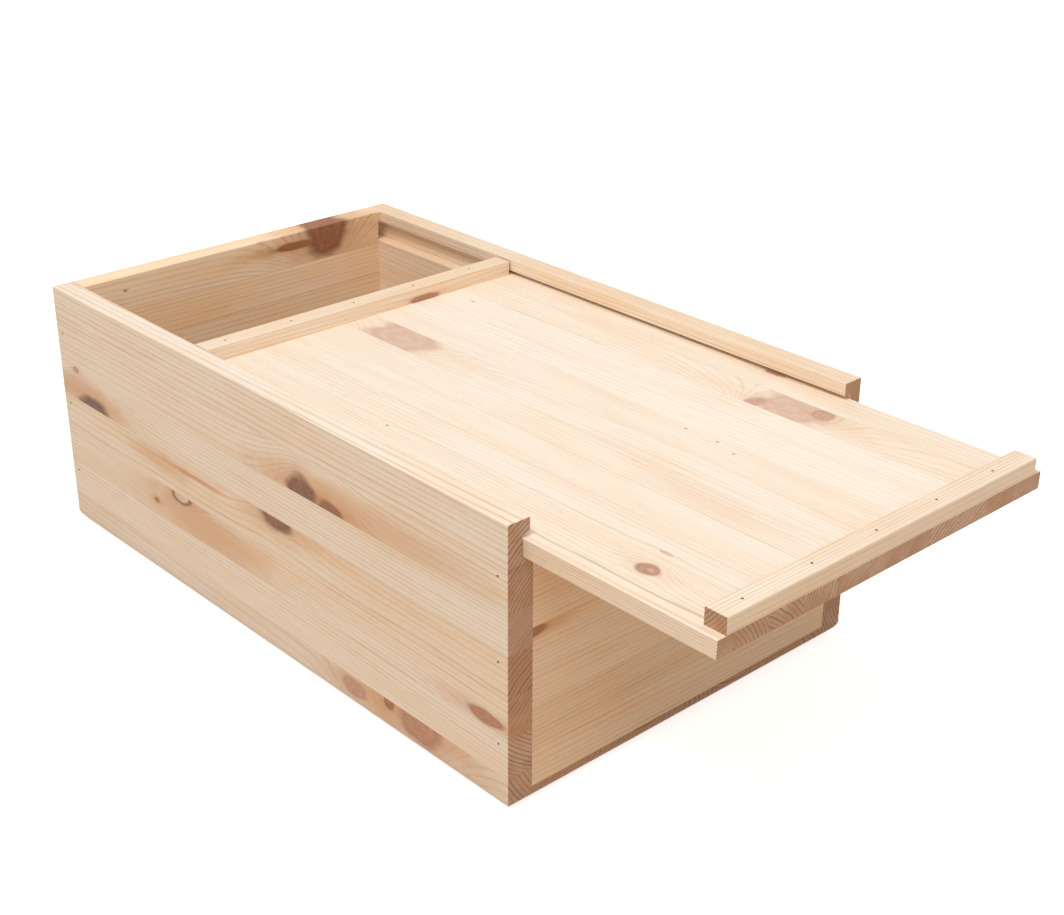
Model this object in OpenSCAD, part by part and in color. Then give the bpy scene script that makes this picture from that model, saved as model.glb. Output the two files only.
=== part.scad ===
// Raw pine box with a sliding lid, for two bottles laid side by side or for papers.
// Every board is edge-glued from narrow staves. The lid runs in grooves cut along the
// inside of both long sides and is drawn out towards +X over the low front board.
// The origin is at the centre of the box's underside, with +Z up.

/* [Box] */
// Length of the box
box_l = 360; // [300:1:420]
// Width of the box over both side boards
box_w = 220; // [170:1:240]
// Height of the side boards and the back board
box_h = 138; // [110:1:150]
// Radius worked on the bottom outer edges, all round
bottom_round = 7.5; // [2:0.5:8]

/* [Boards] */
// Thickness of the side boards
side_t = 13.5; // [11:0.5:18]
// Thickness of the front and back boards
end_t = 12; // [8:0.5:18]
// Thickness of the bottom board
bottom_t = 8.5; // [8:0.5:14]

/* [Groove] */
// Height of the lip above the groove
lip_h = 6.5; // [4:0.5:12]
// Height of the groove
groove_h = 10.5; // [9:0.5:16]
// Depth of the groove, from the inner face of the side board
groove_d = 6; // [3:0.5:8]
// How far the lip stands back from the inner face of the side board
lip_relief = 1.8; // [0.2:0.1:2.5]

/* [Lid] */
// Thickness of the lid board
lid_t = 8.3; // [6:0.1:8.5]
// How far the lid is drawn out at rest
lid_out = 102; // [0:1:240]
// Gap between the lid and the floor of the groove
lid_seat_gap = 0.3; // [0.2:0.1:0.5]
// Gap between each long edge of the lid and the groove
lid_side_gap = 0.5; // [0.3:0.1:1.5]
// Gap between the closed lid and the back board
lid_stop_gap = 0.5; // [0.3:0.1:2]

/* [Battens] */
// Width of the two battens on the lid
batten_w = 11; // [6:0.5:20]
// Height of the battens above the lid
batten_h = 7.6; // [4:0.1:10]
// Gap between each end of a batten and the lip beside it
batten_gap = 1; // [0.5:0.1:3]
// How far the rear batten stands in from the back end of the lid
rear_batten_inset = 3; // [0:0.5:10]

/* [Staves] */
// Staves in each side board
side_staves = 7; // [3:1:8]
// Height of a side board's lowest stave, where the board was ripped to width
side_edge_stave = 18; // [10:0.5:24]
// Staves in the back board
back_staves = 7; // [3:1:8]
// Height of the back board's lowest stave
back_edge_stave = 12.5; // [10:0.5:24]
// Staves in the front board
front_staves = 6; // [3:1:7]
// Height of the front board's highest stave
front_edge_stave = 15; // [10:0.5:24]
// Staves in the bottom board
bottom_staves = 10; // [4:1:11]
// Width of the bottom board's stave on the far side
bottom_edge_stave = 17.5; // [8:0.5:24]
// Staves in the lid board
lid_staves = 11; // [4:1:12]
// Width of the lid board's stave on the near side
lid_edge_stave = 9; // [7:0.5:24]

/* [Brads] */
// Diameter of the headless steel brads
brad_d = 1.3; // [1:0.1:1.8]
// Clearance round a brad in its hole
brad_fit = 0.02; // [0.01:0.01:0.05]
// How deep the brads are punched below the wood's surface
brad_set = 1; // [0.5:0.1:2]
// Length of the brads that pin the side boards to the end boards
corner_brad_l = 30; // [20:1:40]
// Distance of a corner brad below the upper glue line of its stave
corner_brad_drop = 5; // [4:0.5:8]
// Wood left under the point of a batten brad
brad_cover = 1.5; // [1:0.1:3]

/* [Hidden] */
$fn = 48;
over = 1;
groove_z = box_h - lip_h - groove_h;
inner_w = box_w - 2 * side_t;
front_h = groove_z - bottom_t;
back_h = box_h - bottom_t;
lid_l = box_l - end_t - lid_stop_gap;
lid_w = inner_w + 2 * (groove_d - lid_side_gap);
lid_z = groove_z + lid_seat_gap;
lid_front = box_l / 2 + lid_out;
lid_back = lid_front - lid_l;
batten_z = lid_z + lid_t;
batten_l = inner_w + 2 * (lip_relief - batten_gap);
batten_brad_l = batten_h + lid_t - brad_set - brad_cover;

// Glue lines of a board from 0 to its width, with the edge stave at the low edge ...
function joints_down(board_w, staves, edge_stave) =
    let (stave_w = (board_w - edge_stave) / (staves - 1))
    [0, for (i = [0:staves - 1]) edge_stave + i * stave_w];
// ... or with the edge stave at the high edge
function joints_up(board_w, staves, edge_stave) =
    let (stave_w = (board_w - edge_stave) / (staves - 1))
    [for (i = [0:staves - 1]) i * stave_w, board_w];

side_joints = joints_down(box_h, side_staves, side_edge_stave);
back_joints = joints_down(back_h, back_staves, back_edge_stave);
front_joints = joints_up(front_h, front_staves, front_edge_stave);
bottom_joints = joints_up(inner_w, bottom_staves, bottom_edge_stave);
lid_joints = joints_down(lid_w, lid_staves, lid_edge_stave);

// A brad goes through every second stave
corner_brad_heights = [for (i = [2:2:side_staves]) side_joints[i] - corner_brad_drop];
batten_brad_places =
    [for (i = [2:2:lid_staves]) (lid_joints[i - 1] + lid_joints[i] - lid_w) / 2];

function numbered(name, count) = [for (i = [1:count]) str(name, "_", i)];

// Tones of the staves, one after the other, as mixed boards come from the glue press
TONES = ["#dcc39f", "#e6d0b0", "#d2b48c", "#dfc7a4", "#cfae86"];
function tone(i) = TONES[(i * 3) % len(TONES)];

// Waste of one rounded bottom edge that runs along X and faces -Y
module edge_waste(length) {
    rotate([90, 0, 90])
        translate([0, 0, -length / 2 - over])
            linear_extrude(length + 2 * over)
                difference() {
                    translate([-over, -over]) square(bottom_round + over);
                    translate([bottom_round, bottom_round]) circle(bottom_round);
                }
}

module rounded_bottom() {
    difference() {
        children();
        for (turn = [0, 180]) {
            rotate(turn) translate([0, -box_w / 2, 0]) edge_waste(box_l);
            rotate(turn + 90) translate([0, -box_l / 2, 0]) edge_waste(box_w);
        }
    }
}

// Places a brad of a corner joint, driven from the side board's face into the end grain
module at_corner_brads() {
    for (turn = [0, 180], end = [-1, 1], z = corner_brad_heights)
        rotate(turn)
            translate([end * (box_l - end_t) / 2, -box_w / 2 + brad_set, z])
                rotate([-90, 0, 0]) children();
}

// Places a brad of both battens, driven down into the lid
module at_batten_brads() {
    for (x = [lid_front - batten_w / 2, lid_back + rear_batten_inset + batten_w / 2])
        for (y = batten_brad_places)
            translate([x, y, batten_z + batten_h - brad_set])
                rotate([180, 0, 0]) children();
}

module brad(length) {
    cylinder(h = length, d = brad_d);
}

// The hole a brad leaves, open at the face it was punched through
module brad_hole(length) {
    translate([0, 0, -brad_set - over])
        cylinder(h = length + brad_set + over, d = brad_d + 2 * brad_fit);
}

// Section of a side board, from its outer face at 0, with the groove and the thinner lip
module side_section() {
    groove_face = side_t - groove_d;
    lip_face = side_t - lip_relief;
    lip_z = groove_z + groove_h;
    polygon([
        [0, 0], [side_t, 0], [side_t, groove_z], [groove_face, groove_z],
        [groove_face, lip_z], [lip_face, lip_z], [lip_face, box_h], [0, box_h]
    ]);
}

module near_side_board() {
    difference() {
        rounded_bottom()
            translate([-box_l / 2, -box_w / 2, 0])
                rotate([90, 0, 90]) linear_extrude(box_l) side_section();
        at_corner_brads() brad_hole(corner_brad_l);
    }
}

// A board that stands between the side boards, from one end face inwards
module end_board(x, height) {
    difference() {
        rounded_bottom()
            translate([x, -inner_w / 2, bottom_t]) cube([end_t, inner_w, height]);
        at_corner_brads() brad_hole(corner_brad_l);
    }
}

// The back board reaches out to the lips above the grooves, where they stand back
module back_board() {
    between_lips = inner_w + 2 * lip_relief;
    end_board(-box_l / 2, back_h);
    translate([-box_l / 2, -between_lips / 2, box_h - lip_h])
        cube([end_t, between_lips, lip_h]);
}

module bottom_board() {
    rounded_bottom()
        translate([-box_l / 2, -inner_w / 2, 0]) cube([box_l, inner_w, bottom_t]);
}

module lid_board() {
    difference() {
        translate([lid_back, -lid_w / 2, lid_z]) cube([lid_l, lid_w, lid_t]);
        at_batten_brads() brad_hole(batten_brad_l);
    }
}

module batten(x) {
    difference() {
        translate([x, -batten_l / 2, batten_z]) cube([batten_w, batten_l, batten_h]);
        at_batten_brads() brad_hole(batten_brad_l);
    }
}

// Keeps the stave between two glue lines of a board whose staves lie one above the other
module stave_by_height(base, joints, i) {
    reach = 2 * (box_l + box_w);
    intersection() {
        children();
        translate([-reach / 2, -reach / 2, base + joints[i - 1]])
            cube([reach, reach, joints[i] - joints[i - 1]]);
    }
}

// Keeps the stave between two glue lines of a board whose staves lie side by side
module stave_by_width(base, joints, i) {
    reach = 2 * (box_l + lid_l);
    intersection() {
        children();
        translate([-reach / 2, base + joints[i - 1], -reach / 2])
            cube([reach, joints[i] - joints[i - 1], reach]);
    }
}

module near_side_stave(i) {
    color(tone(i)) stave_by_height(0, side_joints, i) near_side_board();
}

module far_side_stave(i) {
    color(tone(i + 2)) stave_by_height(0, side_joints, i) mirror([0, 1, 0]) near_side_board();
}

module back_stave(i) {
    color(tone(i + 1)) stave_by_height(bottom_t, back_joints, i) back_board();
}

module front_stave(i) {
    color(tone(i + 3))
        stave_by_height(bottom_t, front_joints, i) end_board(box_l / 2 - end_t, front_h);
}

module bottom_stave(i) {
    color(tone(i)) stave_by_width(-inner_w / 2, bottom_joints, i) bottom_board();
}

module lid_stave(i) {
    color(tone(i + 1)) stave_by_width(-lid_w / 2, lid_joints, i) lid_board();
}

module lid_front_batten() {
    color(tone(1)) batten(lid_front - batten_w);
}

module lid_rear_batten() {
    color(tone(2)) batten(lid_back + rear_batten_inset);
}

module corner_brads() {
    color("#8f9296") at_corner_brads() brad(corner_brad_l);
}

module batten_brads() {
    color("#8f9296") at_batten_brads() brad(batten_brad_l);
}

for (i = [1:side_staves]) {
    near_side_stave(i);
    far_side_stave(i);
}
for (i = [1:back_staves])
    back_stave(i);
for (i = [1:front_staves])
    front_stave(i);
for (i = [1:bottom_staves])
    bottom_stave(i);
for (i = [1:lid_staves])
    lid_stave(i);
lid_front_batten();
lid_rear_batten();
corner_brads();
batten_brads();
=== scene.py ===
import math
import random
from itertools import count

import bpy
import numpy as np
from mathutils import Matrix, Vector


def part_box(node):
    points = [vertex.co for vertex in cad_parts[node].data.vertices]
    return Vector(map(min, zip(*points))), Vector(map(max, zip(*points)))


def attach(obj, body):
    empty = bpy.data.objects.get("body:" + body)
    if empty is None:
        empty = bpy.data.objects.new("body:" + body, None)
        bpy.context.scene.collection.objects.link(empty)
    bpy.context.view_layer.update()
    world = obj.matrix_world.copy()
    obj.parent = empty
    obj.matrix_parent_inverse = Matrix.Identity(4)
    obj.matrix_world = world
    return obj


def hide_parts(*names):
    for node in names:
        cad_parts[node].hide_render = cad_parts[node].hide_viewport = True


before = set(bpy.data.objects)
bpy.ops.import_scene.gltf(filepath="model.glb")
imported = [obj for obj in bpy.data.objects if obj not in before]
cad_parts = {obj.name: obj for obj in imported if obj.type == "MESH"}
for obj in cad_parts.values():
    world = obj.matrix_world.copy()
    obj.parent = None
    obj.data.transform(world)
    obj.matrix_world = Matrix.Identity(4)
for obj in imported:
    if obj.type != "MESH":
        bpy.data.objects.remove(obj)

MM = 0.001
X, Y, Z = 0, 1, 2
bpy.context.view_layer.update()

# ---- Near side board ----
# Seven pine staves glued edge to edge, planed to 13.5 mm and cut to length. A groove for the
# lid is ploughed along the inside, the lip above it is planed back so that the lid's battens
# pass, the bottom edges are rounded over, and brads through the ends hold the end boards.
GROOVE_DEEP, GROOVE_HIGH, LIP_BACK = 6 * MM, 10.5 * MM, 1.8 * MM
BOTTOM_ROUND, ROUND_STEPS = 7.5 * MM, 10
ARRIS, ARRIS_STEPS = 0.5 * MM, 2
BRAD_HOLE = 1.34 * MM
CORNER_BRADS_FROM_END, CORNER_BRADS_DEEP = 6 * MM, 31 * MM
CORNER_BRAD_HEIGHTS = 33 * MM, 73 * MM, 113 * MM
BRAD_FACETS = 16
CRISP = math.radians(20)              # edges turn sharper than this and stay crisp
REACH = 2 * MM                        # how far a cutter stands out of the wood
TINY = 0.01 * MM                      # two places closer than this are the same


def take(piece):
    """Selects this piece alone and makes it the active one."""
    bpy.ops.object.select_all(action="DESELECT")
    piece.select_set(True)
    bpy.context.view_layer.objects.active = piece


def block(low, high):
    """A squared block of wood between two corners, with its place in its mesh."""
    bpy.ops.object.select_all(action="DESELECT")
    low, high = Vector(low), Vector(high)
    bpy.ops.mesh.primitive_cube_add(size=1, location=(low + high) / 2, scale=high - low)
    bpy.ops.object.transform_apply(location=True, rotation=True, scale=True)
    return bpy.context.object


def cut_away(piece, cutter):
    """Cuts the cutter's shape out of a piece and throws the cutter away."""
    take(piece)
    cut = piece.modifiers.new("cut", "BOOLEAN")
    cut.operation, cut.solver, cut.object = "DIFFERENCE", "EXACT", cutter
    bpy.ops.object.modifier_apply(modifier=cut.name)
    bpy.data.objects.remove(cutter)


def bore(piece, ends):
    """Bores brad holes; each is given by its two ends."""
    pins = []
    for start, end in ends:
        bpy.ops.object.select_all(action="DESELECT")
        start, end = Vector(start), Vector(end)
        turn = (end - start).to_track_quat("Z", "Y").to_euler()
        bpy.ops.mesh.primitive_cylinder_add(
            vertices=BRAD_FACETS, radius=BRAD_HOLE / 2, depth=(end - start).length,
            location=(start + end) / 2, rotation=turn)
        pins.append(bpy.context.object)
    for pin in pins:
        pin.select_set(True)
    bpy.ops.object.join()
    cut_away(piece, bpy.context.object)


def work_edges(piece, wanted, radius, steps):
    """Rounds the edges whose two ends both pass the test."""
    take(piece)
    bpy.context.tool_settings.mesh_select_mode = (False, True, False)
    mesh = piece.data
    mesh.polygons.foreach_set("select", [False] * len(mesh.polygons))
    mesh.vertices.foreach_set("select", [False] * len(mesh.vertices))
    for edge in mesh.edges:
        a, b = (mesh.vertices[v].co for v in edge.vertices)
        edge.select = wanted(a, b)
    bpy.ops.object.mode_set(mode="EDIT")
    bpy.ops.mesh.bevel(offset=radius, segments=steps, profile=0.5, affect="EDGES",
                       clamp_overlap=False)
    bpy.ops.object.mode_set(mode="OBJECT")


def at(value, *points, axis):
    """True if the points all lie at this value along an axis."""
    return all(abs(p[axis] - value) < TINY for p in points)


def corner_holes(side):
    """Both ends of each brad hole in the side board on this side, -1 near and 1 far."""
    face = side_high.y if side > 0 else side_low.y
    return [((x, face + side * REACH, z), (x, face - side * CORNER_BRADS_DEEP, z))
            for x in (side_low.x + CORNER_BRADS_FROM_END, side_high.x - CORNER_BRADS_FROM_END)
            for z in CORNER_BRAD_HEIGHTS]


side_low, side_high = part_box("near_side_stave_1")[0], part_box("far_side_stave_7")[1]
inner_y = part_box("near_side_stave_1")[1].y
groove_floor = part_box("front_stave_6")[1].z
groove_roof = groove_floor + GROOVE_HIGH
lip_y = inner_y - LIP_BACK

near_board = block(side_low, (side_high.x, inner_y, side_high.z))
cut_away(near_board, block((side_low.x - REACH, inner_y - GROOVE_DEEP, groove_floor),
                           (side_high.x + REACH, inner_y + REACH, groove_roof)))
cut_away(near_board, block((side_low.x - REACH, lip_y, groove_roof - TINY),
                           (side_high.x + REACH, inner_y + REACH, side_high.z + REACH)))


def bottom_edges(a, b):
    """The near board's bottom edges: along its outside and across both ends."""
    return at(0, a, b, axis=Z) and (at(side_low.y, a, b, axis=Y) or at(side_low.x, a, b, axis=X)
                                    or at(side_high.x, a, b, axis=X))


def eased_edges(a, b):
    """Its other edges in reach of a hand: the top, the outer corners, the groove and the lip."""
    top = at(side_high.z, a, b, axis=Z)
    corner = (at(side_low.y, a, b, axis=Y) and abs(a.x) > side_high.x - TINY
              and at(a.x, b, axis=X) and min(a.z, b.z) > BOTTOM_ROUND - TINY)
    lengthwise = abs(a.x - b.x) > side_high.x
    groove = at(groove_floor, a, b, axis=Z) and at(inner_y, a, b, axis=Y)
    lip = at(lip_y, a, b, axis=Y) and a.z < side_high.z - TINY
    return top or corner or lengthwise and (groove or lip)


work_edges(near_board, bottom_edges, BOTTOM_ROUND, ROUND_STEPS)
work_edges(near_board, eased_edges, ARRIS, ARRIS_STEPS)
far_board = near_board.copy()
far_board.data = near_board.data.copy()
bpy.context.collection.objects.link(far_board)
bore(near_board, corner_holes(-1))


def saw_out(board, node, across, body):
    """Saws one stave out of a finished board, along the glue lines that its CAD node has."""
    piece = board.copy()
    piece.data = board.data.copy()
    piece.name = piece.data.name = node + "_pine"
    bpy.context.collection.objects.link(piece)
    take(piece)
    low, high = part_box(node)
    heights = [v.co[across] for v in piece.data.vertices]
    bottom, top = min(heights), max(heights)
    square = [float(axis == across) for axis in (X, Y, Z)]
    bpy.ops.object.mode_set(mode="EDIT")
    for cut, outer in ((low[across], False), (high[across], True)):
        if bottom + TINY < cut < top - TINY:
            bpy.ops.mesh.select_all(action="SELECT")
            bpy.ops.mesh.bisect(
                plane_co=[cut * n for n in square], plane_no=square, use_fill=True,
                clear_inner=not outer, clear_outer=outer, threshold=TINY / 10)
    bpy.ops.object.mode_set(mode="OBJECT")
    bpy.ops.object.shade_smooth_by_angle(angle=CRISP)
    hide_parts(node)
    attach(piece, body)
    return piece


KNOTS = 4                             # the most knots and stains that one stave takes
LOG_GAP = 500                         # mm along the grain from one piece's pattern to the next's
LEAN_ACROSS, LEAN_THROUGH = 100, 160  # mm of grain to one lean, across and through the board
NONE_NEAR = 50                        # mm or half widths, too far away for a knot or glue to show
log_starts = count(step=LOG_GAP)
# End grain starts to show where a face's normal leans this far along the grain, and shows in full
# where it leans so much further.
END_GRAIN_FROM, END_GRAIN_OVER = 0.25, 0.6


def lay_grain(piece, axes, cut, knots=(), glued=(True, True)):
    """Writes on a piece where it lay in its log, in mm, for the wood's material.

    axes: along the grain, across the stave, through the board.
    cut: ring width, the pith's place across and through from the stave's middle, lean of the
    grain in mm, wander of the rings in mm, then how light, warm and strongly marked the wood is;
    on some boards light and warm also hold painted light and shade, as their tables say.
    knots: for each, up to four, its place along and across, half length, half width, darkness
    from -1 to 1, or 0 for no knot but a stain, and how stained the wood round it is.
    glued: whether another stave is glued to its low and to its high edge."""
    mesh = piece.data
    along, across, through = axes
    ring, pith_across, pith_through, lean, wander, light, warm, marked = cut
    points = np.empty(len(mesh.vertices) * 3)
    mesh.vertices.foreach_get("co", points)
    points = points.reshape(-1, 3) / MM
    low, high = points.min(axis=0), points.max(axis=0)
    middle = (low + high) / 2
    run = points[:, along]
    marks = {
        "log": (run + next(log_starts),
                points[:, across] - middle[across] - pith_across + lean / LEAN_ACROSS * run,
                points[:, through] - middle[through] - pith_through + lean / LEAN_THROUGH * run),
        "cut": (ring, wander, 0),
        "tint": (light, warm, marked),
        "glue": (points[:, across] - low[across] + (0 if glued[0] else NONE_NEAR),
                 high[across] - points[:, across] + (0 if glued[1] else NONE_NEAR), 0),
    }
    for number in range(1, KNOTS + 1):
        marks[f"knot_{number}"] = (NONE_NEAR, NONE_NEAR, 0)
        marks[f"knot_tone_{number}"] = (0, 0, 0)
    for number, knot in enumerate(knots, 1):
        knot_along, knot_across, half_length, half_width, dark, stained = knot
        marks[f"knot_{number}"] = ((run - knot_along) / half_length,
                                   (points[:, across] - knot_across) / half_width, half_width)
        marks[f"knot_tone_{number}"] = (dark, stained, 0)
    for name, columns in marks.items():
        values = np.column_stack([np.broadcast_to(c, len(points)) for c in columns])
        layer = mesh.attributes.new(name, "FLOAT_VECTOR", "POINT")
        layer.data.foreach_set("vector", values.ravel())
    ends = mesh.attributes.new("end_grain", "FLOAT", "FACE")
    for face, mark in zip(mesh.polygons, ends.data):
        slant = min(max((abs(face.normal[along]) - END_GRAIN_FROM) / END_GRAIN_OVER, 0), 1)
        mark.value = slant * slant * (3 - 2 * slant)   # starts and ends softly
    mesh.materials.clear()
    mesh.materials.append(raw_pine)


def colour(hex_code):
    """An sRGB hex colour as the linear one that a shader takes."""
    parts = [int(hex_code[i:i + 2], 16) / 255 for i in (1, 3, 5)]
    return [p / 12.92 if p <= 0.04045 else ((p + 0.055) / 1.055) ** 2.4 for p in parts] + [1]


def add(tree, kind, inputs=(), **settings):
    """Adds a node with its settings and links and returns its outputs."""
    made = tree.nodes.new("ShaderNode" + kind)
    for name, value in settings.items():
        setattr(made, name, value)
    for place, value in inputs.items() if isinstance(inputs, dict) else enumerate(inputs):
        if isinstance(value, bpy.types.NodeSocket):
            tree.links.new(value, made.inputs[place])
        else:
            made.inputs[place].default_value = value
    return made.outputs


# Raw pine, planed and sanded, with no oil or varnish: a dull, pale cream wood. Each year's ring
# is a pale band that darkens to a thin tan line, spring and summer growth. Where a ring is cut
# across its end, the open pores take the light away and the wood looks brown.
raw_pine = bpy.data.materials.new("raw_pine_sanded")
raw_pine.use_nodes = True
pine = raw_pine.node_tree
pine.nodes.clear()
SHARE, FIRST, SECOND, MIXED = 0, 6, 7, 2   # a Mix node's sockets for colours; their names repeat
log = add(pine, "Attribute", attribute_name="log")["Vector"]
_, log_u, log_v = add(pine, "SeparateXYZ", [log])
cut_mark = add(pine, "Attribute", attribute_name="cut")["Vector"]
ring_width, wander, _ = add(pine, "SeparateXYZ", [cut_mark])
tint = add(pine, "Attribute", attribute_name="tint")["Vector"]
light, warm, marked = add(pine, "SeparateXYZ", [tint])
end_grain = add(pine, "Attribute", attribute_name="end_grain")["Fac"]
noise = {}
for name, grain_long, grain_wide, detail in (
        ("sway", 110, 22, 2),          # mm along and across the grain: bends in the rings
        ("cloud", 90, 12, 2),          # warmer and paler passages
        ("fibre", 40, 0.6, 4),         # bundles of fibres; one fibre is only 0.03 mm wide
        ("breaks", 24, 1.2, 2),        # places where a ring's line is faint
        ("resin", 9, 0.45, 0),         # resin canals, short dark dashes
        ("ragged", 14, 8, 1),          # uneven outlines of knots and stains
        ("speck", 2.2, 0.9, 2)):       # specks in the knots
    spot = add(pine, "VectorMath", [log, (1 / grain_long, 1 / grain_wide, 1 / grain_wide)],
               operation="MULTIPLY")[0]
    noise[name] = add(pine, "TexNoise", {"Vector": spot, "Scale": 1, "Detail": detail})[0]

# A knot is a branch cut across: its own rings, often with a star of cracks. The trunk's rings
# part and close again round it, and resin stains the wood beside it, most of all along the grain.
KNOT_SHOWS = 8.0                      # one over the darkness from which a knot is there in full
RINGS_CLOSE = -0.16                   # how fast the rings' bulge dies down away from a knot
HALO_LONG = 0.5, 1, 0                 # a stain is twice as long along the grain
HALO_OUT, HALO_FULL = 2.2, 0.4        # half widths from the knot at which a stain ends and is full
STAR_RAYS = 1.6                       # noise scale that sets the number of a star's rays
outline = add(pine, "MapRange", {"Value": noise["ragged"], "From Min": 0.3, "From Max": 0.7,
                                 "To Min": 0.85, "To Max": 1.15})[0]
flow, bulge, stains, knots_found = 0.0, 0.0, [], []
for number in range(1, KNOTS + 1):
    knot = add(pine, "Attribute", attribute_name=f"knot_{number}")["Vector"]
    tone = add(pine, "Attribute", attribute_name=f"knot_tone_{number}")["Vector"]
    knot_x, knot_y, knot_wide = add(pine, "SeparateXYZ", [knot])
    tone, stained, _ = add(pine, "SeparateXYZ", [tone])
    flat = add(pine, "CombineXYZ", [knot_x, knot_y, 0.0])[0]
    away = add(pine, "VectorMath", [flat], operation="LENGTH")["Value"]
    strong = add(pine, "Math", [tone], operation="ABSOLUTE")[0]
    real = add(pine, "Math", [strong, KNOT_SHOWS], operation="MULTIPLY", use_clamp=True)[0]
    square = add(pine, "Math", [away, away], operation="MULTIPLY")[0]
    fade = add(pine, "Math", [square, RINGS_CLOSE], operation="MULTIPLY")[0]
    fade = add(pine, "Math", [fade], operation="EXPONENT")[0]
    held = add(pine, "Math", [knot_wide, real], operation="MULTIPLY")[0]
    push = add(pine, "Math", [square, 1.0], operation="MAXIMUM")[0]
    push = add(pine, "Math", [knot_y, push], operation="DIVIDE")[0]
    push = add(pine, "Math", [push, held], operation="MULTIPLY")[0]
    flow = add(pine, "Math", [flow, push], operation="SUBTRACT")[0]
    bulge = add(pine, "Math", [held, fade, bulge], operation="MULTIPLY_ADD")[0]
    halo = add(pine, "VectorMath", [flat, HALO_LONG], operation="MULTIPLY")[0]
    halo = add(pine, "VectorMath", [halo], operation="LENGTH")["Value"]
    halo = add(pine, "Math", [halo, outline], operation="MULTIPLY")[0]
    halo = add(pine, "MapRange", {"Value": halo, "From Min": HALO_OUT, "From Max": HALO_FULL},
               interpolation_type="SMOOTHSTEP")[0]
    stains.append(add(pine, "Math", [halo, stained], operation="MULTIPLY")[0])
    away = add(pine, "Math", [away, outline], operation="MULTIPLY")[0]
    rays = add(pine, "VectorMath", [flat], operation="NORMALIZE")[0]
    rays = add(pine, "TexNoise", {"Vector": rays, "Scale": STAR_RAYS, "Detail": 2})[0]
    knots_found.append((away, rays, tone, strong, real))

# The rings: the distance from the pith, bent by knots and by the tree's uneven growth, counted
# in years. Each year rises slowly to its summer line and ends at once.
UNEVEN_YEARS, UNEVEN_BY = 0.45, 0.4   # how often wide and narrow years change, and by how much
LINE_STARTS, LINE_FULL, LINE_ENDS = 0.5, 0.92, 0.95   # parts of a year; the line is gone by 1
WEAK_YEAR = 0.4                       # the faintest year's line beside the strongest's
sway = add(pine, "Math", [noise["sway"], 0.5], operation="SUBTRACT")[0]
sway = add(pine, "Math", [sway, wander], operation="MULTIPLY")[0]
across_log = add(pine, "Math", [log_u, flow], operation="ADD")[0]
across_log = add(pine, "CombineXYZ", [across_log, log_v, 0.0])[0]
from_pith = add(pine, "VectorMath", [across_log], operation="LENGTH")["Value"]
from_pith = add(pine, "Math", [from_pith, sway], operation="ADD")[0]
from_pith = add(pine, "Math", [from_pith, bulge], operation="SUBTRACT")[0]
years = add(pine, "Math", [from_pith, ring_width], operation="DIVIDE")[0]
uneven = add(pine, "TexNoise", {"W": years, "Scale": UNEVEN_YEARS, "Detail": 1},
             noise_dimensions="1D")[0]
years = add(pine, "Math", [uneven, UNEVEN_BY, years], operation="MULTIPLY_ADD")[0]
season = add(pine, "Math", [years], operation="FRACT")[0]
rising = add(pine, "MapRange", {"Value": season, "From Min": LINE_STARTS, "From Max": LINE_FULL},
             interpolation_type="SMOOTHERSTEP")[0]
falling = add(pine, "MapRange", {"Value": season, "From Min": 1.0, "From Max": LINE_ENDS},
              interpolation_type="SMOOTHSTEP")[0]
summer = add(pine, "Math", [rising, falling], operation="MULTIPLY")[0]
year = add(pine, "Math", [years], operation="FLOOR")[0]
good_year = add(pine, "TexWhiteNoise", {"W": year}, noise_dimensions="1D")["Value"]
good_year = add(pine, "MapRange", {"Value": good_year, "To Min": WEAK_YEAR, "To Max": 1.0})[0]
summer = add(pine, "Math", [summer, good_year], operation="MULTIPLY")[0]

# The colours along the grain and on the end grain, then the fibres' shades, paler or darker wood,
# which on some boards is painted light and shade, and resin canals.
CLOUDS_WARM = 0.9                     # how far the warm passages stand out
PORES_WARM = 0.75                     # end grain is warmer than the same wood along the grain
LIGHT_WOOD = 0.09                     # what one step of "light" adds to the shade
RESIN_DARK = -0.14
line = add(pine, "MapRange", {"Value": noise["breaks"], "From Min": 0.3, "From Max": 0.65,
                              "To Min": 0.35, "To Max": 1.0})[0]
line = add(pine, "Math", [line, summer], operation="MULTIPLY")[0]
line = add(pine, "Math", [line, marked], operation="MULTIPLY")[0]
warmth = add(pine, "Math", [noise["cloud"], 0.5], operation="SUBTRACT")[0]
warmth = add(pine, "Math", [warmth, CLOUDS_WARM, warm], operation="MULTIPLY_ADD",
             use_clamp=True)[0]
open_pores = add(pine, "Math", [warmth, PORES_WARM], operation="ADD", use_clamp=True)[0]
spring_wood = add(pine, "Mix", {SHARE: warmth, FIRST: colour("#F8EBDB"),
                                SECOND: colour("#F2C68F")}, data_type="RGBA")[MIXED]
summer_wood = add(pine, "Mix", {SHARE: warmth, FIRST: colour("#CBA57B"),
                                SECOND: colour("#B97C48")}, data_type="RGBA")[MIXED]
wood = add(pine, "Mix", {SHARE: line, FIRST: spring_wood, SECOND: summer_wood},
           data_type="RGBA")[MIXED]
spring_pores = add(pine, "Mix", {SHARE: open_pores, FIRST: colour("#F3DFCC"),
                                 SECOND: colour("#BC8F6C")}, data_type="RGBA")[MIXED]
pores = add(pine, "Mix", {SHARE: summer, FIRST: spring_pores, SECOND: colour("#6F4529")},
            data_type="RGBA")[MIXED]
wood = add(pine, "Mix", {SHARE: end_grain, FIRST: wood, SECOND: pores}, data_type="RGBA")[MIXED]
shade = add(pine, "MapRange", {"Value": noise["fibre"], "From Min": 0.3, "From Max": 0.7,
                               "To Min": 0.94, "To Max": 1.03}, clamp=False)[0]
shade = add(pine, "Math", [light, LIGHT_WOOD, shade], operation="MULTIPLY_ADD")[0]
resin = add(pine, "MapRange", {"Value": noise["resin"], "From Min": 0.74, "From Max": 0.82})[0]
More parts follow.
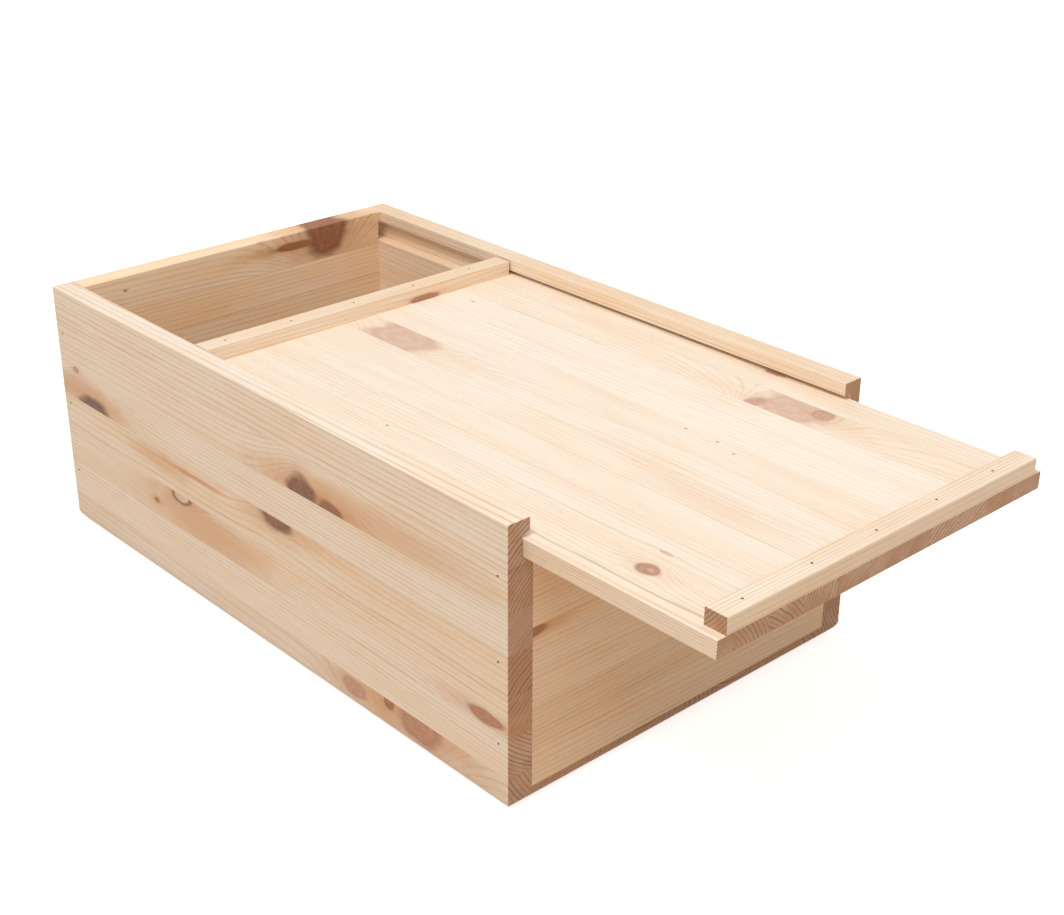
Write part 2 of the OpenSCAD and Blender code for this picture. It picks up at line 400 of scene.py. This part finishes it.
shade = add(pine, "Math", [resin, RESIN_DARK, shade], operation="MULTIPLY_ADD")[0]
wood = add(pine, "VectorMath", {0: wood, "Scale": shade}, operation="SCALE")[0]

# Stains lie under the knots. A knot's heart goes from pale over red brown to dark as its tone goes
# from 0 over 0.5 to 1, and is straw coloured within a dark rim below 0. Dark ones have cracks.
CRACK_WIDE, CRACK_PALE = 0.02, 0.45
BRANCH_RINGS, BRANCH_DEEP, BRANCH_SHADE = 14.0, 0.06, 0.65   # radians a half width, then shades
RAYS_DEEP, SPECKS_DEEP = 0.2, 0.6
KNOT_ENDS, KNOT_FULL = 1.12, 0.76     # half widths; the knot's soft edge
RIM, RIM_WIDE = 0.95, 0.36            # half widths; where its dark rim lies and how wide it fades
RIM_DARK, PALE_RIM_DARK = 0.55, 0.4   # the second is added for a straw coloured knot
for stain in stains:
    wood = add(pine, "Mix", {SHARE: stain, FIRST: wood, SECOND: colour("#D39B66")},
               data_type="RGBA")[MIXED]
for away, rays, tone, strong, real in knots_found:
    mild = add(pine, "Math", [tone, 2.0], operation="MULTIPLY", use_clamp=True)[0]
    dark = add(pine, "Math", [tone, 2.0, -1.0], operation="MULTIPLY_ADD", use_clamp=True)[0]
    pale = add(pine, "Math", [tone, -1.0], operation="MULTIPLY", use_clamp=True)[0]
    heart = add(pine, "Mix", {SHARE: mild, FIRST: colour("#D6B19A"), SECOND: colour("#A66A48")},
                data_type="RGBA")[MIXED]
    heart = add(pine, "Mix", {SHARE: dark, FIRST: heart, SECOND: colour("#66463A")},
                data_type="RGBA")[MIXED]
    heart = add(pine, "Mix", {SHARE: pale, FIRST: heart, SECOND: colour("#DDC6A6")},
                data_type="RGBA")[MIXED]
    crack = add(pine, "Math", [rays, 0.5, CRACK_WIDE], operation="COMPARE")[0]
    crack = add(pine, "Math", [crack, dark], operation="MULTIPLY")[0]
    crack = add(pine, "Math", [crack, CRACK_PALE], operation="MULTIPLY")[0]
    heart = add(pine, "Mix", {SHARE: crack, FIRST: heart, SECOND: colour("#C9A58A")},
                data_type="RGBA")[MIXED]
    branch = add(pine, "Math", [away, BRANCH_RINGS], operation="MULTIPLY")[0]
    branch = add(pine, "Math", [branch], operation="SINE")[0]
    branch = add(pine, "Math", [branch, BRANCH_DEEP, BRANCH_SHADE], operation="MULTIPLY_ADD")[0]
    branch = add(pine, "Math", [rays, RAYS_DEEP, branch], operation="MULTIPLY_ADD")[0]
    branch = add(pine, "Math", [noise["speck"], SPECKS_DEEP, branch], operation="MULTIPLY_ADD")[0]
    heart = add(pine, "VectorMath", {0: heart, "Scale": branch}, operation="SCALE")[0]
    inside = add(pine, "MapRange", {"Value": away, "From Min": KNOT_ENDS, "From Max": KNOT_FULL},
                 interpolation_type="SMOOTHSTEP")[0]
    inside = add(pine, "Math", [inside, real], operation="MULTIPLY")[0]
    wood = add(pine, "Mix", {SHARE: inside, FIRST: wood, SECOND: heart}, data_type="RGBA")[MIXED]
    rim = add(pine, "Math", [away, RIM], operation="SUBTRACT")[0]
    rim = add(pine, "Math", [rim], operation="ABSOLUTE")[0]
    rim = add(pine, "MapRange", {"Value": rim, "From Min": RIM_WIDE, "From Max": 0.0},
              interpolation_type="SMOOTHSTEP")[0]
    rim_shown = add(pine, "Math", [pale, PALE_RIM_DARK, RIM_DARK], operation="MULTIPLY_ADD")[0]
    rim = add(pine, "Math", [rim, rim_shown], operation="MULTIPLY")[0]
    rim = add(pine, "Math", [rim, strong], operation="MULTIPLY")[0]
    wood = add(pine, "Mix", {SHARE: rim, FIRST: wood, SECOND: colour("#80543C")},
               data_type="RGBA")[MIXED]

# A glue line is a hair wide and a little darker than the wood. Fibres and summer lines ridge
# the sanded surface, and the summer lines are a little less dull.
GLUE_LINE, GLUE_DARK = 0.35, 0.88     # mm to where its shade fades out, and the shade
RIDGE, SUMMER_RIDGE = 0.06 * MM, 0.6  # how high, and the lines' share beside the fibres'
SPRING_DULL, SUMMER_DULL = 0.62, 0.5
glue = add(pine, "Attribute", attribute_name="glue")["Vector"]
low_seam, high_seam, _ = add(pine, "SeparateXYZ", [glue])
seam = add(pine, "Math", [low_seam, high_seam], operation="MINIMUM")[0]
seam = add(pine, "MapRange", {"Value": seam, "From Max": GLUE_LINE, "To Min": GLUE_DARK})[0]
wood = add(pine, "VectorMath", {0: wood, "Scale": seam}, operation="SCALE")[0]
relief = add(pine, "Math", [summer, SUMMER_RIDGE, noise["fibre"]], operation="MULTIPLY_ADD")[0]
bump = add(pine, "Bump", {"Strength": 0.25, "Distance": RIDGE, "Height": relief})[0]
dull = add(pine, "MapRange", {"Value": summer, "To Min": SPRING_DULL, "To Max": SUMMER_DULL})[0]
surface = add(pine, "BsdfPrincipled", {"Base Color": wood, "Roughness": dull, "IOR": 1.5,
                                       "Normal": bump})[0]
add(pine, "OutputMaterial", {"Surface": surface})

# Each row is a stave, from the bottom up, and its numbers are what lay_grain asks for.
UPRIGHT = (X, Z, Y)
near_cuts = [
    (2.2, 34, 46, 1.5, 2.5, -0.5, 0.12, 0.65),
    (1.8, 52, 40, 0.8, 1.5, 0.1, 0.08, 0.6),
    (2.0, 40, -25, 1.5, 3, 0.1, 0.22, 0.7),
    (2.4, -36, 30, 2.0, 4, 0.0, 0.28, 0.65),
    (1.5, -50, 50, 1.0, 1.5, 0.1, 0.08, 0.7),
    (2.0, -36, 38, 1.2, 2, 0.1, 0.16, 0.7),
    (2.2, -52, 42, 1.6, 1.2, 0.1, 0.12, 0.8),
]
near_knots = {
    1: [(74, 12, 9, 5, 0.2, 0.5), (100, 17, 4, 4, 0.5, 0.5), (122, 16, 14, 11, 0.3, 0.6)],
    3: [(-66, 57.5, 8, 5, -0.95, 0.5), (-91, 46, 2, 1.4, 0.4, 0.5),
        (166.5, 42.5, 12, 3.5, 0.35, 0.4), (-46, 47, 20, 9, 0, 0.55)],
    4: [(18, 79, 12, 7.5, 0.8, 0.5), (16, 80.5, 3.5, 2.2, -0.6, 0),
        (-52, 73, 9, 1.1, 0, 0.9), (-84, 71, 10, 4, 0, 0.45)],
    5: [(-148, 77.5, 14, 5.5, 0.95, 0.5), (-160, 86, 13, 5, 0, 0.6),
        (-164, 95.5, 3, 1.6, 0.2, 0.3)],
    6: [(40, 99, 11, 8, 0.85, 0.5), (63, 98, 9, 4.5, 0.65, 0.7), (90, 103, 28, 7, 0, 0.45)],
}
for i, cut in enumerate(near_cuts, 1):
    stave = saw_out(near_board, f"near_side_stave_{i}", Z, "box")
    lay_grain(stave, UPRIGHT, cut, near_knots.get(i, ()), (i > 1, i < len(near_cuts)))
bpy.data.objects.remove(near_board)

# ---- Far side board ----
# The same board as the near one, turned end for end, so that its groove faces the other.
# Its staves come from other trees, so their rings and knots differ.
take(far_board)
bpy.ops.transform.rotate(value=math.pi, orient_axis="Z", center_override=(0, 0, 0))
bpy.ops.object.transform_apply(location=True, rotation=True, scale=True)
bore(far_board, corner_holes(1))


def chance_knots(draw, piece, axes):
    """Often no knot, sometimes one or two, anywhere on a stave whose own can't be seen."""
    along, across, _ = axes
    points = [v.co / MM for v in piece.data.vertices]
    knots = []
    for _ in range(draw.choice((0, 0, 1, 1, 2))):
        half = draw.uniform(2, 8)
        knots.append((
            draw.uniform(min(p[along] for p in points), max(p[along] for p in points)),
            draw.uniform(min(p[across] for p in points), max(p[across] for p in points)),
            half * draw.uniform(1.2, 1.8), half, draw.uniform(0.2, 0.95), draw.uniform(0.1, 0.5)))
    return knots


# The top stave's warmth is partly the wood's own and partly painted warm light bounced onto the
# inner face of the lip.
far_cuts_with_painted_light = [
    (2.2, 30, 45, 1.0, 3, 0.0, 0.2, 0.45),
    (1.8, -40, 30, -0.8, 2.5, -0.1, 0.25, 0.45),
    (2.5, 26, 55, 1.2, 3, 0.1, 0.2, 0.4),
    (1.7, 45, -30, -1.0, 2, 0.0, 0.3, 0.5),
    (2.0, -30, 40, 0.6, 2.5, 0.1, 0.25, 0.45),
    (1.8, 35, 35, 1.1, 2, 0.0, 0.45, 0.5),
    (1.6, -25, 38, -0.6, 2, 0.1, 0.42, 0.65),
]
draw = random.Random(11)
for i, cut in enumerate(far_cuts_with_painted_light, 1):
    stave = saw_out(far_board, f"far_side_stave_{i}", Z, "box")
    below_top = i < len(far_cuts_with_painted_light)     # the top stave shows and has no knot
    knots = chance_knots(draw, stave, UPRIGHT) if below_top else ()
    lay_grain(stave, UPRIGHT, cut, knots, (i > 1, below_top))
bpy.data.objects.remove(far_board)

# ---- Back board ----
# Seven staves, planed to 12 mm, glued and pinned between the side boards and as high as they
# are. Beside the lips it reaches out to them. Only its upper edge is eased.
back_low, back_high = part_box("back_stave_1")[0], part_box("back_stave_7")[1]
back_board = block((back_low.x, lip_y, back_low.z), (back_high.x, -lip_y, back_high.z))
for side in (-1, 1):
    ends = sorted((side * -inner_y, side * (REACH - lip_y)))
    cut_away(back_board, block((back_low.x - REACH, ends[0], back_low.z - REACH),
                               (back_high.x + REACH, ends[1], groove_roof)))
work_edges(back_board, lambda a, b: at(back_high.z, a, b, axis=Z) and abs(a.y - b.y) > ARRIS,
           ARRIS, ARRIS_STEPS)
end_holes = corner_holes(-1) + corner_holes(1)
bore(back_board, [hole for hole in end_holes if hole[0][X] < 0])
CROSSWISE = (Y, Z, X)
# The back board's staves are paler (light 1 to 1.9): painted light that makes up for the shade
# inside the box. Their warmth is partly the wood's own and partly painted warm light bounced off
# the walls of the box.
back_cuts_with_painted_light = [
    (2.4, 30, 40, 0.8, 3, 1.0, 0.5, 0.5),
    (1.9, -45, 30, -0.7, 2, 1.1, 0.45, 0.5),
    (2.2, 36, -40, 0.9, 3, 1.0, 0.55, 0.5),
    (1.7, -30, 45, -1.0, 2, 1.2, 0.5, 0.5),
    (2.0, 40, -30, 0.8, 2, 1.6, 0.56, 0.55),
    (2.0, -35, 35, -0.6, 2, 1.9, 0.64, 0.6),
    (2.0, 32, 40, 0.8, 1.5, 1.8, 0.56, 0.65),
]
back_knots = {7: [(59, 134, 13, 15, 0.6, 0.6), (36, 130.5, 13, 2.4, 0.5, 0.6),
                  (-74, 130, 1.2, 1.0, 0.2, 0.1)]}
for i, cut in enumerate(back_cuts_with_painted_light, 1):
    stave = saw_out(back_board, f"back_stave_{i}", Z, "box")
    lay_grain(stave, CROSSWISE, cut, back_knots.get(i, ()), (i > 1, i < len(back_cuts_with_painted_light)))
bpy.data.objects.remove(back_board)

# ---- Front board ----
# Six staves, planed to 12 mm, set between the side boards. It stops level with the floor of the
# grooves, so that the lid slides out over it.
front_low, front_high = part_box("front_stave_1")[0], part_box("front_stave_6")[1]
front_board = block(front_low, front_high)
work_edges(front_board, lambda a, b: at(front_high.z, a, b, axis=Z) and abs(a.y - b.y) > ARRIS,
           ARRIS, ARRIS_STEPS)
bore(front_board, [hole for hole in end_holes if hole[0][X] > 0])
# The front board's staves are darker (light -0.3 to -1): painted shade of the lid's overhang. Their
# warmth is partly the wood's own and partly painted warm light bounced under the lid.
front_cuts_with_painted_shade = [
    (1.9, 34, 46, 0.8, 2, -0.6, 0.55, 0.6),
    (1.8, -48, 40, -0.5, 1.5, -1.0, 0.6, 0.6),
    (2.0, 40, 42, 0.7, 2, -0.3, 0.5, 0.55),
    (1.7, -44, 36, 0.6, 1.5, -0.3, 0.45, 0.6),
    (1.9, 42, 38, -0.6, 1.5, -0.3, 0.5, 0.6),
    (1.8, -40, 40, 0.5, 1.5, -0.3, 0.5, 0.6),
]
front_knots = {4: [(-97, 84.5, 8, 2.6, 0.5, 0.7)]}
for i, cut in enumerate(front_cuts_with_painted_shade, 1):
    stave = saw_out(front_board, f"front_stave_{i}", Z, "box")
    lay_grain(stave, CROSSWISE, cut, front_knots.get(i, ()), (i > 1, i < len(front_cuts_with_painted_shade)))
bpy.data.objects.remove(front_board)

# ---- Bottom board ----
# Ten staves, planed to 8.5 mm, glued between the side boards and under both end boards. Its end
# grain shows under the front board, rounded over with the edges of the side boards.
bottom_low, bottom_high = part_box("bottom_stave_1")[0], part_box("bottom_stave_10")[1]
bottom_board = block(bottom_low, bottom_high)
work_edges(bottom_board, lambda a, b: at(0, a, b, axis=Z) and at(a.x, b, axis=X),
           BOTTOM_ROUND, ROUND_STEPS)


def chance_cut(draw):
    """A cut as it comes from the saw, for a stave whose own can't be seen."""
    angle = draw.uniform(0, 2 * math.pi)
    deep = draw.uniform(25, 70)
    return (draw.uniform(1.4, 3.4), deep * math.sin(angle), deep * math.cos(angle),
            draw.uniform(-1.5, 1.5), draw.uniform(2, 5), draw.uniform(-0.5, 0.2),
            draw.uniform(0.3, 0.8), draw.uniform(0.3, 0.6))


LENGTHWISE = (X, Y, Z)
BOTTOM_STAVES = 10
for i in range(1, BOTTOM_STAVES + 1):
    stave = saw_out(bottom_board, f"bottom_stave_{i}", Y, "box")
    lay_grain(stave, LENGTHWISE, chance_cut(draw), chance_knots(draw, stave, LENGTHWISE))
bpy.data.objects.remove(bottom_board)

# ---- Lid board ----
# Eleven staves, planed to 8.3 mm, thin enough to run in the grooves on its bare long edges.
# All its outer edges are eased with sandpaper.
THIN_ARRIS = 0.3 * MM
BATTEN_BRADS_DEEP, BATTEN_BRAD_SINK = 13.4 * MM, 1 * MM
BATTEN_BRAD_PLACES = -83.25 * MM, -44.25 * MM, -5.25 * MM, 33.75 * MM, 72.75 * MM
lid_low, lid_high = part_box("lid_stave_1")[0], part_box("lid_stave_11")[1]
battens = ("lid_front_batten", "lid_rear_batten")
batten_boxes = [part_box(node) for node in battens]
batten_holes = []
for low, high in batten_boxes:
    x, top = (low.x + high.x) / 2, high.z
    batten_holes.append([((x, y, top + REACH), (x, y, top - BATTEN_BRAD_SINK - BATTEN_BRADS_DEEP))
                         for y in BATTEN_BRAD_PLACES])
lid_board = block(lid_low, lid_high)
work_edges(lid_board, lambda a, b: True, THIN_ARRIS, ARRIS_STEPS)
bore(lid_board, batten_holes[0] + batten_holes[1])
# The lid's staves are paler and less warm than the boards below: partly their own tone and partly
# painted light where the lamp above falls full on the lid's top.
lid_cuts_with_painted_light = [
    (1.3, 16, -60, 0.5, 1.5, 0.3, 0.16, 0.85),
    (1.9, -36, -22, 1.5, 2.5, 0.2, 0.15, 0.45),
    (2.0, -30, -30, -1.2, 3, 0.2, 0.14, 0.45),
    (1.8, -45, 16, 0.6, 2, 0.3, 0.1, 0.35),
    (1.6, 35, -35, 1.0, 3, 0.4, 0.15, 0.4),
    (1.8, 30, -38, 0.8, 3, 0.4, 0.15, 0.4),
    (1.7, 28, -30, -0.9, 3, 0.4, 0.1, 0.4),
    (2.2, 34, -40, 0.6, 3, 0.5, 0.0, 0.33),
    (2.1, 38, -42, 1.0, 3, 0.5, 0.0, 0.33),
    (1.9, 26, -34, 1.8, 4, 0.6, 0.15, 0.45),
    (1.8, 30, -34, -0.7, 3, 0.3, 0.15, 0.4),
]
lid_knots = {
    2: [(230, -83, 5.5, 4.2, 0.3, 0.15), (231, -83, 1.7, 1.3, -0.07, 0), (61, -76, 1, 0.6, 0.3, 0)],
    3: [(226, -69, 4, 1, 0.1, 0.1)],
    5: [(210, -22, 16, 9, 0, 0.12)],
    6: [(-17, -5, 21, 16, 0.09, 0.1)],
    7: [(152, 21, 1.0, 0.6, 0.3, 0), (171, 21, 1.0, 0.6, 0.3, 0), (184, 17, 1.0, 0.6, 0.25, 0)],
    9: [(-33, 55, 1.2, 0.6, 0.2, 0)],
    10: [(170, 73, 19, 15, 0.09, 0.1), (184, 78, 6, 5, 0.16, 0.2), (153, 66, 4, 7, 0.14, 0.1)],
    11: [(138, 99, 6, 1.6, 0.25, 0.2)],
}
for i, cut in enumerate(lid_cuts_with_painted_light, 1):
    stave = saw_out(lid_board, f"lid_stave_{i}", Y, "lid")
    lay_grain(stave, LENGTHWISE, cut, lid_knots.get(i, ()), (i > 1, i < len(lid_cuts_with_painted_light)))
bpy.data.objects.remove(lid_board)

# ---- Battens ----
# Two strips of pine glued and pinned across the lid: the front one is the pull, the rear one
# keeps the lid flat. Their grain runs across the lid, and their edges are eased.
# The rear batten's warmth is partly its own and partly painted shade: it stands in for the warmer
# look of its front face, which gets less light than its top.
batten_cuts_with_painted_shade = [(1.5, 36, -45, 0.6, 1.5, 0.0, 0.3, 0.7), (1.6, 30, -30, 0.5, 1.5, 0.1, 0.44, 0.6)]
batten_knots = [(), [(37, 130.8, 10, 2, 0.4, 0.3)]]
for node, (low, high), holes, cut, knots in zip(battens, batten_boxes, batten_holes,
                                                batten_cuts_with_painted_shade, batten_knots):
    batten = block(low, high)
    bottom = low.z
    work_edges(batten, lambda a, b: not at(bottom, a, b, axis=Z), THIN_ARRIS, ARRIS_STEPS)
    bore(batten, holes)
    batten.name = batten.data.name = node + "_pine"
    take(batten)
    bpy.ops.object.shade_smooth_by_angle(angle=CRISP)
    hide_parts(node)
    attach(batten, "lid")
    lay_grain(batten, CROSSWISE, cut, knots, (False, False))

# ---- Brads ----
# Headless steel brads, punched just below the surface of the side boards and the battens. Only
# their cut ends show, as small dark dots.
steel = bpy.data.materials.new("brushed_steel_brads")
steel.use_nodes = True
wire = steel.node_tree
wire.nodes.clear()
DRAW_MARK = 0.2 * MM                  # the scratches that drawing leaves along the wire
spot = add(wire, "TexCoord")["Object"]
scratch = add(wire, "TexNoise", {"Vector": spot, "Scale": 1 / DRAW_MARK, "Detail": 2})[0]
metal = add(wire, "Mix", {SHARE: scratch, FIRST: colour("#5C5A58"), SECOND: colour("#8A8784")},
            data_type="RGBA")[MIXED]
rough = add(wire, "MapRange", {"Value": scratch, "To Min": 0.35, "To Max": 0.55})[0]
metal = add(wire, "BsdfPrincipled", {"Base Color": metal, "Roughness": rough, "Metallic": 1.0})[0]
add(wire, "OutputMaterial", {"Surface": metal})
for node in ("corner_brads", "batten_brads"):
    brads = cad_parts[node].data
    brads.materials.clear()
    brads.materials.append(steel)

# ---- Floor, light and camera ----
# A matte white paper sweep under soft light from the upper left and a weak lamp at the right, and
# a camera at the height of someone standing at the table.
paper = bpy.data.materials.new("matte_white_paper")
paper.use_nodes = True
sheet = paper.node_tree
sheet.nodes.clear()
# It throws light on the box as a darker, warmer card would, and the eye sees it white.
PAPER_TOOTH, TOOTH_DEEP = 1.25 * MM, 0.1 * MM   # coarser than real paper's, so that it shows
PAPER_DULL = 0.5
PAPER_GLOW = 0.68                     # brings what the eye sees of the paper up to white
FLOOR_WIDE = 30                       # m, so that its edges never show
spot = add(sheet, "TexCoord")["Object"]
tooth = add(sheet, "TexNoise", {"Vector": spot, "Scale": 1 / PAPER_TOOTH})[0]
tooth = add(sheet, "Bump", {"Strength": 0.05, "Distance": TOOTH_DEEP, "Height": tooth})[0]
lighting = add(sheet, "BsdfDiffuse", {"Color": colour("#CDB496"), "Roughness": PAPER_DULL,
                                      "Normal": tooth})[0]
white = add(sheet, "BsdfDiffuse", {"Color": colour("#F4F3F1"), "Roughness": PAPER_DULL,
                                   "Normal": tooth})[0]
glow = add(sheet, "Emission", {"Color": (1, 1, 1, 1), "Strength": PAPER_GLOW})[0]
shown = add(sheet, "AddShader", [white, glow])[0]
ray = add(sheet, "LightPath")
seen = add(sheet, "Math", [ray["Is Camera Ray"], ray["Is Glossy Ray"]], operation="MAXIMUM")[0]
surface = add(sheet, "MixShader", [seen, lighting, shown])[0]
add(sheet, "OutputMaterial", {"Surface": surface})
bpy.ops.object.select_all(action="DESELECT")
bpy.ops.mesh.primitive_plane_add(size=FLOOR_WIDE)
floor = bpy.context.object
floor.name = "floor"
floor.data.materials.append(paper)

room = bpy.data.worlds.new("white_room")
bpy.context.scene.world = room
room.use_nodes = True
walls = room.node_tree
walls.nodes.clear()
ROOM_LIGHT = 0.53
ray = add(walls, "LightPath")
seen = add(walls, "Math", [ray["Is Camera Ray"], ray["Is Glossy Ray"]], operation="MAXIMUM")[0]
seen = add(walls, "Math", [seen, ray["Is Transmission Ray"]], operation="MAXIMUM")[0]
warm_walls = add(walls, "Background", {"Color": colour("#FFFAF3"), "Strength": ROOM_LIGHT})[0]
white_walls = add(walls, "Background", {"Color": (1, 1, 1, 1), "Strength": 1.0})[0]
surface = add(walls, "MixShader", [seen, warm_walls, white_walls])[0]
add(walls, "OutputWorld", {"Surface": surface})

LAMPS_AIM = Vector((0, 0, 0.1))
for name, size, power, place in (         # m across, W, and where it hangs in m
        ("key_softbox", 1.4, 37, (0.45, -1.05, 2.4)),
        ("fill_softbox", 1.2, 2.8, (1.5, 0.9, 0.7))):
    light = bpy.data.lights.new(name, "AREA")
    light.shape, light.size, light.energy = "DISK", size, power
    lamp = bpy.data.objects.new(name, light)
    lamp.location = place
    lamp.rotation_euler = (LAMPS_AIM - lamp.location).to_track_quat("-Z", "Y").to_euler()
    lamp.visible_camera = False
    bpy.context.collection.objects.link(lamp)

AZIMUTH, ELEVATION, ROLL = (math.radians(angle) for angle in (47.45, 25.686, -0.325))
EYE = 0.6198, -0.5012, 0.4504         # m
FOCAL_LENGTH, SENSOR = 58.31, 36      # mm
ahead = Vector((-math.sin(AZIMUTH) * math.cos(ELEVATION), math.cos(AZIMUTH) * math.cos(ELEVATION),
                -math.sin(ELEVATION)))
right = Vector((math.cos(AZIMUTH), math.sin(AZIMUTH), 0))
down = ahead.cross(right)
right, down = (math.cos(ROLL) * right + math.sin(ROLL) * down,
               math.cos(ROLL) * down - math.sin(ROLL) * right)
turn = Matrix((right, -down, -ahead)).transposed().to_4x4()
lens = bpy.data.cameras.new("camera")
lens.lens, lens.sensor_width = FOCAL_LENGTH, SENSOR
camera = bpy.data.objects.new("camera", lens)
camera.matrix_world = Matrix.Translation(EYE) @ turn
bpy.context.collection.objects.link(camera)
bpy.context.scene.camera = camera
bpy.context.scene.view_settings.view_transform = "Standard"
